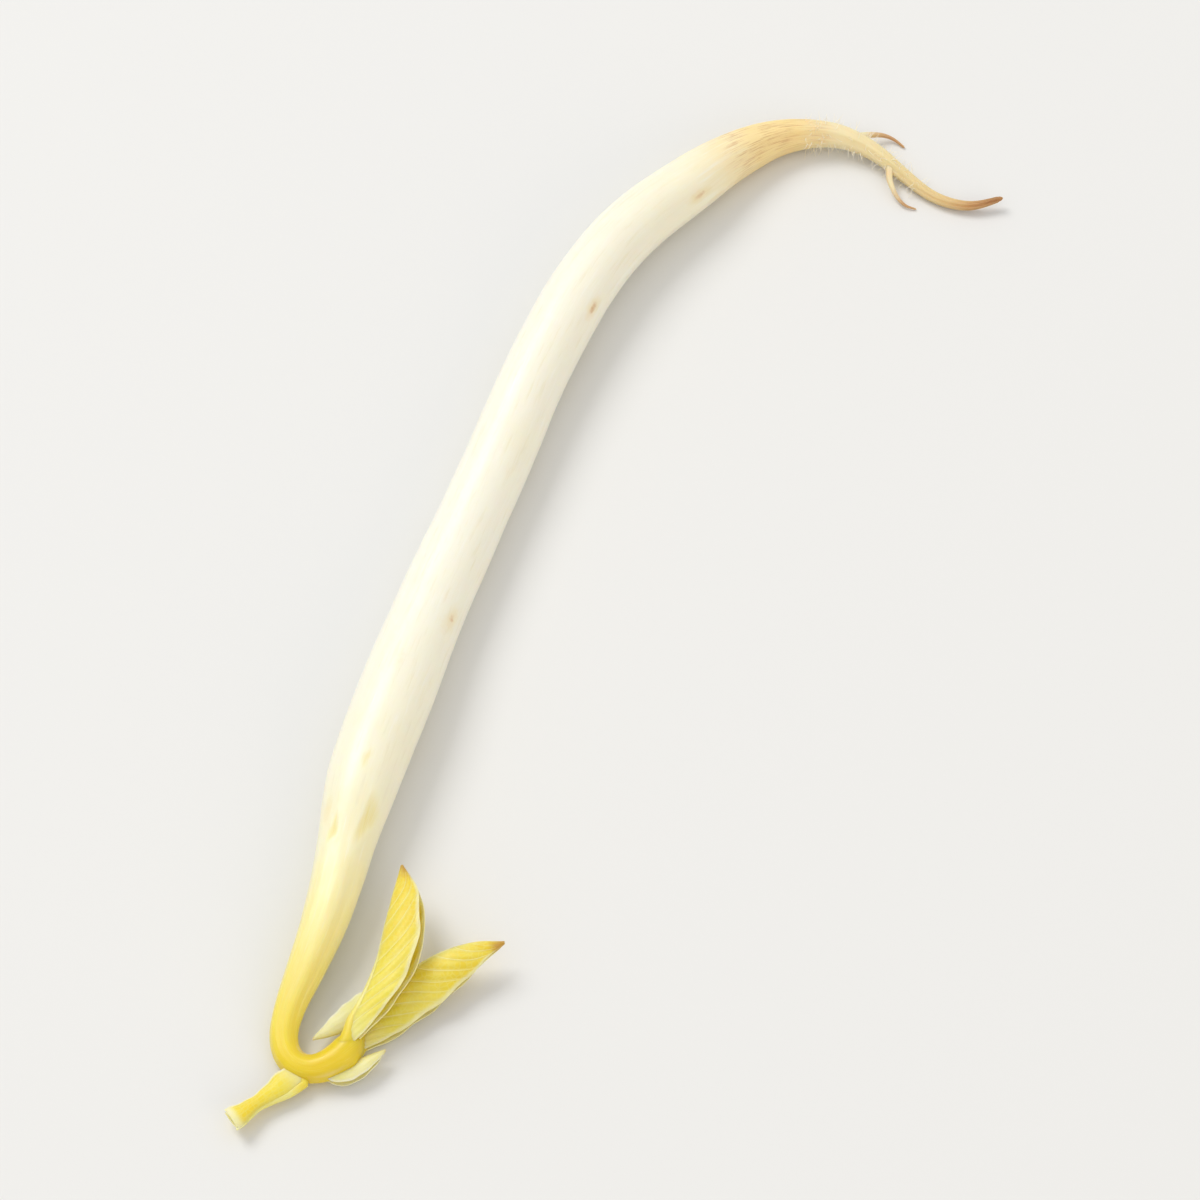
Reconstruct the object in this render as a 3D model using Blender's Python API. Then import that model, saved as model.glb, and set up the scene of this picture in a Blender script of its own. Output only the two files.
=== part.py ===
# One mung bean sprout, picked and lying on a flat surface, in metres with +Z up.
# It lies along X, from its root at -X to its hooked top at +X, and its origin is under the middle of its box.

import math

import bmesh
import bpy
from mathutils import Matrix, Vector

MM = 0.001

# The middle of the sprout's box, in the plan that the stops below are measured in, in mm
BOX_MIDDLE = (0.292, 3.202)

# Stops along the round pieces: place in plan x and y, height of the underside, diameter, all in mm.
# An underside below zero is flattened by the surface, so the sprout rests there: at the collar of its root, at the
# belly of its stem and at its hook.
HYPOCOTYL_STOPS = (
    (-24.6, -0.9, -0.03, 2.5),
    (-22.8, -1.7, 0.10, 2.8),
    (-19.1, -3.3, 0.22, 3.05),
    (-15.1, -4.1, 0.28, 3.15),
    (-10.2, -4.3, 0.16, 3.15),
    (-5.7, -4.1, -0.04, 3.2),
    (-1.0, -3.9, -0.13, 3.25),
    (4.0, -3.7, -0.12, 3.35),
    (8.6, -3.3, 0.04, 3.5),
    (12.6, -2.9, 0.18, 3.4),
    (14.6, -2.6, 0.30, 3.1),
    (16.1, -2.3, 0.40, 2.7),
)
EPICOTYL_STOPS = (
    (16.4, -2.25, 0.42, 2.6),
    (18.6, -1.8, 0.45, 2.35),
    (20.7, -1.5, 0.40, 2.1),
    (22.8, -1.4, 0.27, 1.75),
    (24.6, -1.35, 0.10, 1.4),
    (26.0, -1.05, -0.04, 1.25),
    (26.9, -0.2, -0.04, 1.22),
    (26.85, 0.8, -0.04, 1.25),
    (26.3, 1.4, -0.03, 1.4),
    (25.75, 1.75, -0.02, 1.5),
)
ROOT_STOPS = (
    (-24.9, -0.75, -0.05, 2.4),
    (-26.1, 0.0, -0.03, 2.15),
    (-27.3, 1.0, 0.05, 1.75),
    (-28.2, 2.3, 0.15, 1.4),
    (-28.7, 3.8, 0.25, 1.15),
    (-28.6, 5.6, 0.25, 0.85),
    (-28.0, 7.4, 0.12, 0.65),
    (-27.4, 9.2, 0.05, 0.6),
    (-27.5, 11.0, 0.15, 0.55),
    (-28.3, 12.2, 0.45, 0.5),
)
ROOTLET_STOPS = (
    (
        (-28.5, 4.2, 0.55, 0.5),
        (-29.2, 4.7, 0.45, 0.5),
        (-29.9, 5.6, 0.20, 0.45),
    ),
    (
        (-28.2, 6.7, 0.30, 0.5),
        (-27.5, 6.9, 0.30, 0.5),
        (-26.6, 7.6, 0.15, 0.45),
    ),
)

# Stops along the folded blades: place x, y and z of the blade's middle, its depth from keel to edges, its thickness
# and its roll about its own length, in mm and degrees. At roll zero the blade lies flat with its keel on its left.
LEAF_LONG_STOPS = (
    (25.5, 2.0, 0.42, 0.7, 0.62, 0),
    (24.6, 2.35, 0.48, 1.0, 0.65, 0),
    (23.2, 2.95, 0.62, 1.65, 0.8, 6),
    (21.7, 3.65, 0.85, 2.0, 0.9, 12),
    (20.3, 4.5, 1.15, 1.75, 0.85, 16),
    (19.2, 5.35, 1.40, 1.1, 0.7, 14),
    (18.4, 6.2, 1.60, 0.3, 0.35, 10),
)
LEAF_SHORT_STOPS = (
    (25.4, 1.7, 1.28, 0.7, 0.62, 0),
    (24.5, 1.95, 1.55, 0.95, 0.65, -4),
    (22.9, 2.3, 1.90, 1.4, 0.8, -10),
    (21.2, 2.35, 2.10, 1.8, 0.9, -16),
    (19.5, 1.95, 2.12, 1.85, 0.95, -20),
    (18.0, 1.35, 2.00, 1.3, 0.8, -16),
    (16.8, 0.65, 1.85, 0.3, 0.35, -10),
)
BUD_STOPS = (
    (27.8, -0.05, 0.55, 1.2, 0.75, 0),
    (28.4, -0.4, 0.55, 0.9, 0.72, 0),
    (29.1, -0.75, 0.60, 0.68, 0.66, 0),
    (29.7, -1.05, 0.68, 0.95, 0.7, 0),
    (30.15, -1.3, 0.76, 1.0, 0.6, 0),
    (30.45, -1.5, 0.80, 0.45, 0.4, 0),
)
STIPULE_INNER_STOPS = (
    (23.2, 1.35, 0.75, 0.4, 0.5, 0),
    (23.9, 1.05, 0.75, 0.75, 0.62, 0),
    (24.7, 0.65, 0.70, 0.65, 0.6, 0),
    (25.5, 0.2, 0.65, 0.22, 0.3, 0),
)
STIPULE_OUTER_STOPS = (
    (27.0, 2.0, 0.50, 0.5, 0.6, 0),
    (26.5, 2.6, 0.58, 0.85, 0.62, 0),
    (25.7, 3.0, 0.72, 0.65, 0.6, 0),
    (24.9, 3.35, 0.90, 0.22, 0.3, 0),
)

# Facets round a piece and rings along it
STEM_SIDES = 20
THIN_SIDES = 12
STEM_RINGS = 44
HOOK_RINGS = 30
ROOT_RINGS = 34
ROOTLET_RINGS = 7
LEAF_RINGS = 18
SCALE_RINGS = 9

# Colours and roughness of the finishes
IVORY = ((0.90, 0.86, 0.72), 0.38)
TAN = ((0.62, 0.42, 0.22), 0.60)
LEMON = ((0.86, 0.74, 0.25), 0.40)
LEAF_YELLOW = ((0.80, 0.62, 0.08), 0.50)
PALE_GREEN = ((0.84, 0.84, 0.55), 0.50)


def smooth_path(stops, count):
    """Even samples of a smooth curve that passes through the stops, which may hold any number of values."""
    ends = [tuple(2 * a - b for a, b in zip(stops[0], stops[1]))]
    ends += list(stops)
    ends.append(tuple(2 * a - b for a, b in zip(stops[-1], stops[-2])))
    dense = []
    steps = 24
    for before, start, end, after in zip(ends, ends[1:], ends[2:], ends[3:]):
        for step in range(steps):
            t = step / steps
            dense.append(tuple(
                0.5 * (2 * b + (c - a) * t + (2 * a - 5 * b + 4 * c - d) * t ** 2 + (3 * b - a - 3 * c + d) * t ** 3)
                for a, b, c, d in zip(before, start, end, after)
            ))
    dense.append(tuple(stops[-1]))
    travelled = [0.0]
    for previous, current in zip(dense, dense[1:]):
        travelled.append(travelled[-1] + math.dist(previous[:2], current[:2]))
    samples = []
    segment = 0
    for index in range(count):
        target = travelled[-1] * index / (count - 1)
        while segment < len(dense) - 2 and travelled[segment + 1] < target:
            segment += 1
        span = travelled[segment + 1] - travelled[segment]
        share = (target - travelled[segment]) / span
        samples.append(tuple(a + (b - a) * share for a, b in zip(dense[segment], dense[segment + 1])))
    return samples


def frames_along(centres):
    """A left direction and an up direction across the path at each of its centres."""
    frames = []
    for index, centre in enumerate(centres):
        previous = centres[max(index - 1, 0)]
        following = centres[min(index + 1, len(centres) - 1)]
        forward = (following - previous).normalized()
        left = Vector((0, 0, 1)).cross(forward).normalized()
        frames.append((left, forward.cross(left)))
    return frames


def finish(name, look):
    colour, roughness = look
    material = bpy.data.materials.new(name)
    material.use_nodes = True
    shader = material.node_tree.nodes["Principled BSDF"]
    shader.inputs["Base Color"].default_value = (*colour, 1.0)
    shader.inputs["Roughness"].default_value = roughness
    shader.inputs["Metallic"].default_value = 0.0
    return material


def skin(name, rings, material):
    """A closed solid through rings of points in mm, its sides split into triangles that all lean one way."""
    offset = Vector((*BOX_MIDDLE, 0))
    bm = bmesh.new()
    loops = [[bm.verts.new((point - offset) * MM) for point in ring] for ring in rings]
    sides = len(loops[0])
    for near, far in zip(loops, loops[1:]):
        for side in range(sides):
            after = (side + 1) % sides
            bm.faces.new((near[side], near[after], far[after]))
            bm.faces.new((near[side], far[after], far[side]))
    for loop in (loops[0], loops[-1]):
        middle = bm.verts.new(sum((vert.co for vert in loop), Vector()) / sides)
        for side in range(sides):
            bm.faces.new((middle, loop[side], loop[(side + 1) % sides]))
    bmesh.ops.recalc_face_normals(bm, faces=bm.faces)
    mesh = bpy.data.meshes.new(name)
    bm.to_mesh(mesh)
    bm.free()
    mesh.shade_smooth()
    mesh.set_sharp_from_angle(angle=math.radians(50))
    mesh.materials.append(material)
    solid = bpy.data.objects.new(name, mesh)
    bpy.context.collection.objects.link(solid)
    return solid


def stalk(name, stops, ring_count, sides, material, end_round=0.0):
    """A round, tapering solid along its stops, flattened where it rests. Its far end is flat unless it is rounded over
    the share of the last diameter that is given."""
    samples = smooth_path(stops, ring_count)
    centres = [Vector((x, y, lift + diameter / 2)) for x, y, lift, diameter in samples]
    rounding = end_round * samples[-1][3]
    rings = []
    for (left, up), centre, sample in zip(frames_along(centres), centres, samples):
        radius = sample[3] / 2
        to_end = (centres[-1] - centre).length
        if to_end < rounding:
            radius *= math.sqrt(1 - (1 - to_end / rounding) ** 2 * 0.75)
        ring = []
        for side in range(sides):
            angle = 2 * math.pi * side / sides
            point = centre + (left * math.cos(angle) + up * math.sin(angle)) * radius
            point.z = max(point.z, 0.0)
            ring.append(point)
        rings.append(ring)
    return skin(name, rings, material)


def blade(name, stops, ring_count, material, notch=0.3):
    """A leaf folded along its midrib and lying on its side. The notch is the share of its depth by which its two
    edges stand apart, and it closes towards both ends."""
    samples = smooth_path(stops, ring_count)
    centres = [Vector(sample[:3]) for sample in samples]
    rings = []
    for index, ((left, up), centre, sample) in enumerate(zip(frames_along(centres), centres, samples)):
        depth, thickness, roll = sample[3:]
        turn = Matrix.Rotation(math.radians(roll), 3, left.cross(up))
        keelward = turn @ left * depth
        outward = turn @ up * thickness
        open_share = math.sin(math.pi * index / (ring_count - 1)) ** 0.7
        valley = 0.5 - notch * open_share
        outline = (
            (0.5, 0.0),
            (0.36, 0.36),
            (0.0, 0.47),
            (-0.34, 0.5),
            (-0.5, 0.3),
            (-valley, 0.0),
            (-0.5, -0.3),
            (-0.34, -0.5),
            (0.0, -0.47),
            (0.36, -0.36),
        )
        rings.append([centre + keelward * across + outward * over for across, over in outline])
    return skin(name, rings, material)


def fuse(body, extras):
    """Joins the extras to the body in one solid."""
    group = bpy.data.collections.new(body.name + "_extras")
    for extra in extras:
        group.objects.link(extra)
    union = body.modifiers.new("Fuse", "BOOLEAN")
    union.operation = "UNION"
    union.operand_type = "COLLECTION"
    union.collection = group
    union.solver = "EXACT"
    joined = bpy.data.meshes.new_from_object(body.evaluated_get(bpy.context.evaluated_depsgraph_get()))
    body.modifiers.clear()
    body.data = joined
    for extra in extras:
        bpy.data.objects.remove(extra)
    bpy.data.collections.remove(group)


def build_sprout():
    ivory = finish("ivory_flesh", IVORY)
    tan = finish("tan_root", TAN)
    lemon = finish("lemon_hook", LEMON)
    yellow = finish("leaf_yellow", LEAF_YELLOW)
    pale = finish("pale_scale", PALE_GREEN)

    stalk("hypocotyl", HYPOCOTYL_STOPS, STEM_RINGS, STEM_SIDES, ivory)
    stalk("epicotyl", EPICOTYL_STOPS, HOOK_RINGS, THIN_SIDES, lemon, end_round=0.15)
    root = stalk("root", ROOT_STOPS, ROOT_RINGS, THIN_SIDES, tan, end_round=0.8)
    rootlets = [
        stalk(f"rootlet_{index}", stops, ROOTLET_RINGS, 8, tan, end_round=0.8)
        for index, stops in enumerate(ROOTLET_STOPS)
    ]
    fuse(root, rootlets)

    blade("leaf_long", LEAF_LONG_STOPS, LEAF_RINGS, yellow)
    blade("leaf_short", LEAF_SHORT_STOPS, LEAF_RINGS, yellow)
    blade("shoot_bud", BUD_STOPS, SCALE_RINGS, yellow, notch=0.15)
    blade("stipule_inner", STIPULE_INNER_STOPS, SCALE_RINGS, pale, notch=0.1)
    blade("stipule_outer", STIPULE_OUTER_STOPS, SCALE_RINGS, pale, notch=0.1)


for leftover in list(bpy.data.objects):
    bpy.data.objects.remove(leftover)
build_sprout()
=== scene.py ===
import math

import bpy
import numpy
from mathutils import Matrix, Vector


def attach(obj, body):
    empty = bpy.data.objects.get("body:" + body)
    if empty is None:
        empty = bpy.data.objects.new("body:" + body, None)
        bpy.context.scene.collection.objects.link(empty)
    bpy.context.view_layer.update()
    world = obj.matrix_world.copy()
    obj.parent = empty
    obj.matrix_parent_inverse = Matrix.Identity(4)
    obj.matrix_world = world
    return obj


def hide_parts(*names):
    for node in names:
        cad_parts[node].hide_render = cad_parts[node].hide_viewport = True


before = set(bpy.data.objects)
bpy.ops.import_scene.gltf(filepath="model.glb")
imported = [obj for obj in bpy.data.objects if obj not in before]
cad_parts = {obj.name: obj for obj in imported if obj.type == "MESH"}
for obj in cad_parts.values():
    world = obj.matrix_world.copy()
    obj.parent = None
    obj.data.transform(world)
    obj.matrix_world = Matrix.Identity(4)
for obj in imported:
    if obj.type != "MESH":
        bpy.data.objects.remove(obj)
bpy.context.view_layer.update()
print("solids loaded:", ", ".join(sorted(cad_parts)))

mm = 0.001
planMiddle = numpy.array((0.292, 3.202, 0.0))     # middle of the sprout's box in the plan of the stops, mm


# A socket that does arithmetic, and the board of nodes it lies on

class Wire:
    def __init__(self, board, socket):
        self.board = board
        self.socket = socket

    def work(self, operation, *values):
        return self.board.put("ShaderNodeMath", {"operation": operation}, dict(enumerate(values)))

    def __add__(self, other):
        return self.work("ADD", self, other)

    def __radd__(self, other):
        return self.work("ADD", other, self)

    def __sub__(self, other):
        return self.work("SUBTRACT", self, other)

    def __rsub__(self, other):
        return self.work("SUBTRACT", other, self)

    def __mul__(self, other):
        return self.work("MULTIPLY", self, other)

    def __rmul__(self, other):
        return self.work("MULTIPLY", other, self)

    def __truediv__(self, other):
        return self.work("DIVIDE", self, other)

    def __rtruediv__(self, other):
        return self.work("DIVIDE", other, self)

    def __pow__(self, other):
        return self.work("POWER", self, other)

    def __gt__(self, other):
        return self.work("GREATER_THAN", self, other)

    def __lt__(self, other):
        return self.work("LESS_THAN", self, other)

    def sine(self):
        return self.work("SINE", self)

    def cosine(self):
        return self.work("COSINE", self)

    def size(self):
        return self.work("ABSOLUTE", self)

    def atLeast(self, other):
        return self.work("MAXIMUM", self, other)

    def between(self, low, high, floor=0.0, top=1.0):    # eased from floor at low to top at high
        settings = {"interpolation_type": "SMOOTHSTEP"}
        return self.board.put("ShaderNodeMapRange", settings, {0: self, 1: low, 2: high, 3: floor, 4: top})

    def sibling(self, name):      # another output of the same node
        return Wire(self.board, self.socket.node.outputs[name])


class Board:
    def __init__(self, tree):
        self.tree = tree

    def put(self, kind, settings=None, values=None, out=0):
        node = self.tree.nodes.new(kind)
        for name, value in (settings or {}).items():
            if name == "stops":
                ramp = node.color_ramp
                while len(ramp.elements) < len(value):
                    ramp.elements.new(0.5)
                for element, (place, colour) in zip(ramp.elements, value):
                    element.position = place
                    element.color = (*colour, 1.0)
            else:
                setattr(node, name, value)
        for key, value in (values or {}).items():
            socket = node.inputs[key]
            if isinstance(value, Wire):
                self.tree.links.new(value.socket, socket)
            else:
                socket.default_value = value
        return Wire(self, node.outputs[out])

    def vector(self, x, y, z):
        return self.put("ShaderNodeCombineXYZ", None, {0: x, 1: y, 2: z})

    def split(self, vector):
        first = self.put("ShaderNodeSeparateXYZ", None, {0: vector})
        return [Wire(self, first.socket.node.outputs[index]) for index in range(3)]

    def stretch(self, vector, scale):
        return self.put("ShaderNodeVectorMath", {"operation": "MULTIPLY"}, {0: vector, 1: scale})

    def cloud(self, vector, scale, detail=3.0, rough=0.5):
        return self.put("ShaderNodeTexNoise", None,
                        {"Vector": vector, "Scale": scale, "Detail": detail, "Roughness": rough})

    def blend(self, share, below, above):
        settings = {"data_type": "RGBA", "blend_type": "MIX", "clamp_factor": True}
        return self.put("ShaderNodeMix", settings, {0: share, 6: below, 7: above}, out=2)

    def bump(self, height, strength, distance):
        return self.put("ShaderNodeBump", None,
                        {"Strength": strength, "Distance": distance, "Height": height})


def tint(red, green, blue):      # a colour given as it looks on screen, 0 to 255
    return tuple((value / 255 / 12.92) if value < 11 else ((value / 255 + 0.055) / 1.055) ** 2.4
                 for value in (red, green, blue))


def full(colour):
    return (*tint(*colour), 1.0)


def newMaterial(name):
    material = bpy.data.materials.new(name)
    material.use_nodes = True
    board = Board(material.node_tree)
    return material, board, material.node_tree.nodes["Principled BSDF"]


def plug(board, shader, **wires):
    for name, wire in wires.items():
        socket = shader.inputs[name.replace("_", " ")]
        if isinstance(wire, Wire):
            board.tree.links.new(wire.socket, socket)
        else:
            socket.default_value = wire


# Curves through given stops

def smoothPath(stops, perSpan):      # a curve through the stops, perSpan points from each to the next
    ends = [tuple(2 * a - b for a, b in zip(stops[0], stops[1])), *stops]
    ends.append(tuple(2 * a - b for a, b in zip(stops[-1], stops[-2])))
    path = []
    for before, start, end, after in zip(ends, ends[1:], ends[2:], ends[3:]):
        for part in range(perSpan):
            t = part / perSpan
            path.append([
                0.5 * (2 * b + (c - a) * t + (2 * a - 5 * b + 4 * c - d) * t * t
                       + (3 * b - a - 3 * c + d) * t ** 3)
                for a, b, c, d in zip(before, start, end, after)
            ])
    path.append(list(stops[-1]))
    return path


def evenPath(stops, step):           # samples a step apart with their travel, and the travel of each stop, mm
    perSpan = 40
    path = smoothPath(stops, perSpan)
    travel = [0.0]
    for previous, current in zip(path, path[1:]):
        travel.append(travel[-1] + math.dist(previous[:3], current[:3]))
    count = max(2, round(travel[-1] / step) + 1)
    wanted = numpy.linspace(0.0, travel[-1], count)
    columns = [numpy.interp(wanted, travel, [row[index] for row in path]) for index in range(len(stops[0]))]
    return numpy.column_stack([*columns, wanted]), [travel[perSpan * index] for index in range(len(stops))]


def ease(value, low, high):
    share = numpy.clip((value - low) / (high - low), 0.0, 1.0)
    return share * share * (3 - 2 * share)


# The axis of the sprout, from root tip to leaf node
# Stops: place x and y, height of the underside and diameter, mm

axis = {
    "stops": (
        (-28.3, 12.2, 0.45, 0.26),
        (-27.5, 11.0, 0.15, 0.42),
        (-27.4, 9.2, 0.05, 0.52),
        (-28.0, 7.4, 0.12, 0.64),
        (-28.6, 5.6, 0.25, 0.84),
        (-28.7, 3.8, 0.25, 1.12),
        (-28.2, 2.3, 0.15, 1.40),
        (-27.3, 1.0, 0.05, 1.75),
        (-26.1, 0.0, -0.03, 2.15),
        (-24.75, -0.83, -0.04, 2.45),
        (-22.8, -1.7, 0.10, 2.8),
        (-19.1, -3.3, 0.22, 3.05),
        (-15.1, -4.1, 0.28, 3.15),
        (-10.2, -4.3, 0.16, 3.15),
        (-5.7, -4.1, -0.04, 3.2),
        (-1.0, -3.9, -0.13, 3.25),
        (4.0, -3.7, -0.12, 3.35),
        (8.6, -3.3, 0.04, 3.5),
        (12.6, -2.9, 0.18, 3.4),
        (14.6, -2.6, 0.30, 3.1),
        (16.25, -2.28, 0.41, 2.66),
        (18.6, -1.8, 0.45, 2.35),
        (20.7, -1.5, 0.40, 2.1),
        (22.8, -1.4, 0.27, 1.75),
        (24.6, -1.35, 0.10, 1.4),
        (26.0, -1.05, -0.04, 1.25),
        (26.9, -0.2, -0.04, 1.22),
        (26.85, 0.8, -0.04, 1.25),
        (26.3, 1.4, -0.03, 1.4),
        (25.75, 1.75, -0.02, 1.5),
    ),
    "collarStop": 9,          # where the root ends and the stem begins
    "nodeStop": 20,           # where the seed leaves sat
    "bendStop": 26,           # the outermost point of the hook
    "step": 0.12,             # mm between rings
    "even": 0.48,             # mm over which the small kinks at the stops are evened out
}


def evenOut(column, reach):      # a running mean whose weights fall off over the reach, in samples
    span = round(3 * reach)
    weights = numpy.exp(-0.5 * (numpy.arange(-span, span + 1) / reach) ** 2)
    padded = numpy.pad(column, span, mode="reflect", reflect_type="odd")
    return numpy.convolve(padded, weights / weights.sum(), mode="valid")


axisSamples, axisTravel = evenPath(axis["stops"], axis["step"])
for number in range(4):
    axisSamples[:, number] = evenOut(axisSamples[:, number], axis["even"] / axis["step"])
collarTravel = axisTravel[axis["collarStop"]]
nodeTravel = axisTravel[axis["nodeStop"]]
bendTravel = axisTravel[axis["bendStop"]]
endTravel = axisTravel[-1]
print(f"axis in mm: collar {collarTravel:.1f}, seed-leaf node {nodeTravel:.1f},",
      f"bend {bendTravel:.1f}, end {endTravel:.1f}")


# Geometry Nodes that sweep a skin along paths

def addSocket(tree, name, kind, side, default=None):
    socket = tree.interface.new_socket(name=name, in_out=side, socket_type="NodeSocket" + kind)
    if default is not None:
        socket.default_value = default


def startTree(name, inputs):
    tree = bpy.data.node_groups.new(name, "GeometryNodeTree")
    addSocket(tree, "Geometry", "Geometry", "INPUT")
    for title, kind, default in inputs:
        addSocket(tree, title, kind, "INPUT", default)
    addSocket(tree, "Geometry", "Geometry", "OUTPUT")
    board = Board(tree)
    group = tree.nodes.new("NodeGroupInput")
    given = {socket.name: Wire(board, socket) for socket in group.outputs if socket.name}
    return tree, board, given


def endTree(board, body, floor, skin):      # rests the body on the floor and gives it its finish
    x, y, z = board.split(board.put("GeometryNodeInputPosition"))
    rested = board.vector(x, y, z.atLeast(floor))
    body = board.put("GeometryNodeRealizeInstances", None, {0: body})
    body = board.put("GeometryNodeSetPosition", None, {"Geometry": body, "Position": rested})
    body = board.put("GeometryNodeSetMaterial", None, {"Geometry": body, "Material": skin})
    output = board.tree.nodes.new("NodeGroupOutput")
    board.tree.links.new(body.socket, output.inputs[0])


def namedValue(board, name):
    return board.put("GeometryNodeInputNamedAttribute", {"data_type": "FLOAT"}, {"Name": name})


def tubeAlong(board, line, ring, scale):
    tube = board.put("GeometryNodeCurveToMesh", None,
                     {"Curve": line, "Profile Curve": ring, "Fill Caps": True})
    scaleSocket = tube.socket.node.inputs.get("Scale")
    if scaleSocket is not None:
        board.tree.links.new(scale.socket, scaleSocket)
    return tube


def makeSweepTree():
    tree, board, given = startTree("sweepSkin", (
        ("Sides", "Int", 48), ("Ribs", "Float", 6.0), ("Lump Size", "Float", 0.004), ("Floor", "Float", 0.0),
        ("Skin", "Material", None),
    ))
    girth = namedValue(board, "girth")
    line = board.put("GeometryNodeMeshToCurve", None, {0: given["Geometry"]})
    line = board.put("GeometryNodeSetCurveRadius", None, {"Curve": line, "Radius": girth})
    line = board.put("GeometryNodeSetCurveNormal", {"mode": "Z_UP"}, {"Curve": line})
    ring = board.put("GeometryNodeCurvePrimitiveCircle", None, {"Resolution": given["Sides"], "Radius": 1.0})
    around = board.put("GeometryNodeSplineParameter")
    ring = board.put("GeometryNodeStoreNamedAttribute", {"data_type": "FLOAT", "domain": "POINT"},
                     {"Geometry": ring, "Name": "turn", "Value": around * (2 * math.pi)})
    body = tubeAlong(board, line, ring, girth)

    place = board.put("GeometryNodeInputPosition")
    turn = namedValue(board, "turn")
    travel = namedValue(board, "travel")
    sway = (board.cloud(place, 300.0, 1.0) - 0.5) * 1.6
    across = board.vector(turn.cosine() * 2.5, turn.sine() * 2.5, travel * 0.25)
    creases = (board.cloud(across, 2.4, 3.0, 0.6) - 0.5) * 1.8
    ribs = ((turn * given["Ribs"] + sway).sine() + creases) * namedValue(board, "ribHeight")
    lumps = (board.cloud(place, 1.0 / given["Lump Size"], 2.0) - 0.5) * namedValue(board, "lumpHeight") * 2.0
    normal = board.put("GeometryNodeInputNormal")
    push = board.put("ShaderNodeVectorMath", {"operation": "SCALE"}, {0: normal, "Scale": ribs + lumps})
    body = board.put("GeometryNodeSetPosition", None, {"Geometry": body, "Offset": push})
    endTree(board, body, given["Floor"], given["Skin"])
    return tree


sweepTree = makeSweepTree()


def applyTree(thing, tree, values):      # runs a tree on a thing and leaves a plain mesh
    modifier = thing.modifiers.new(tree.name, "NODES")
    modifier.node_group = tree
    for socket in tree.interface.items_tree:
        if socket.in_out == "INPUT" and socket.name in values:
            modifier[socket.identifier] = values[socket.name]
    plain = bpy.data.meshes.new_from_object(thing.evaluated_get(bpy.context.evaluated_depsgraph_get()))
    thing.modifiers.clear()
    thing.data = plain
    return thing


def addThing(name, mesh):
    thing = bpy.data.objects.new(name, mesh)
    bpy.context.collection.objects.link(thing)
    return thing


def layPaths(name, paths):      # paths: lists of (x, y, z, radius, travel, rib height, lump height), mm
    mesh = bpy.data.meshes.new(name)
    points = numpy.array([row for path in paths for row in path], dtype=float)
    edges = []
    first = 0
    for path in paths:
        edges += [(first + index, first + index + 1) for index in range(len(path) - 1)]
        first += len(path)
    mesh.from_pydata((points[:, :3] * mm).tolist(), edges, [])
    attributes = (("girth", mm), ("travel", 1.0), ("ribHeight", mm), ("lumpHeight", mm))
    for column, (attribute, scale) in enumerate(attributes, 3):
        values = mesh.attributes.new(attribute, "FLOAT", "POINT").data
        values.foreach_set("value", points[:, column] * scale)
    return addThing(name, mesh)


def tubeRows(centres, radii, travels, ribAt, lumpAt, caps):      # one path's rows, capped past both ends
    rows = [(*centre, radius, travel, ribAt(travel), lumpAt(travel))
            for centre, radius, travel in zip(centres, radii, travels)]
    capRings = 7
    for end, inner, cap in ((0, 1, caps[0]), (-1, -2, caps[1])):
        if not cap:
            continue
        outward = numpy.subtract(centres[end], centres[inner])
        outward /= numpy.linalg.norm(outward)
        side = numpy.sign(travels[end] - travels[inner])
        for index in range(1, capRings + 1):
            angle = 0.5 * math.pi * index / capRings
            reach = cap * radii[end] * math.sin(angle)
            radius = radii[end] * max(math.cos(angle), 0.03)
            row = (*(centres[end] + outward * reach), radius, travels[end] + side * reach, 0.0, 0.0)
            rows.insert(0 if end == 0 else len(rows), row)
    return rows


def smoothShade(thing, angle=60):
    thing.data.shade_smooth()
    thing.data.set_sharp_from_angle(angle=math.radians(angle))


def settle(thing, slot, *nodes):      # every piece is part of the one body
    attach(thing, "root")
    if nodes:
        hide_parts(*nodes)


# The finish of root, stem and hook, which changes along the sprout

skinTones = (                                   # travel in mm and the colour there
    (0.0, (158, 114, 74)),
    (1.4, (192, 150, 102)),
    (3.2, (224, 194, 142)),
    (6.0, (237, 216, 166)),
    (collarTravel - 5.6, (242, 226, 184)),
    (collarTravel - 4.0, (243, 218, 156)),
    (collarTravel - 1.4, (245, 222, 164)),
    (collarTravel + 0.4, (247, 232, 190)),
    (collarTravel + 2.6, (247, 240, 214)),
    (collarTravel + 8.0, (247, 243, 226)),
    (nodeTravel - 12.0, (247, 244, 228)),
    (nodeTravel - 3.0, (247, 242, 218)),
    (nodeTravel + 1.5, (246, 239, 198)),
    (nodeTravel + 5.0, (245, 232, 154)),
    (bendTravel - 2.2, (241, 221, 90)),
    (bendTravel, (236, 209, 32)),
    (endTravel - 1.0, (231, 202, 22)),
    (endTravel + 0.8, (234, 207, 38)),
)
skinLook = {
    "streak": full((182, 112, 62)),
    "fleck": full((204, 152, 90)),
    "halo": full((238, 218, 162)),
    "chalk": full((252, 250, 241)),
    "glass": full((236, 229, 200)),
    "honey": full((240, 225, 174)),
    "lime": full((225, 205, 56)),
    "cream": full((248, 236, 148)),
    "scar": full((234, 216, 96)),
    "rim": full((249, 245, 212)),
}
skinShare = {                                   # how far each mark covers the colour below it
    "chalk": 0.40, "glass": 0.40, "fibre": 0.16, "patch": 0.10, "lime": 0.30, "cream": 0.22,
    "streak": 0.44, "halo": 0.40, "fleck": 0.65, "rim": 0.25,
}
flecks = {"cells": (1.55, 1.55, 0.42), "lot": 0.82, "warp": 0.35}
flesh = {
    "subsurface": 0.55, "reach": 0.0009, "radius": (1.0, 0.80, 0.50),
    "roughness": 0.33, "damp": 0.22, "dampRoughness": 0.26,
}


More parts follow.
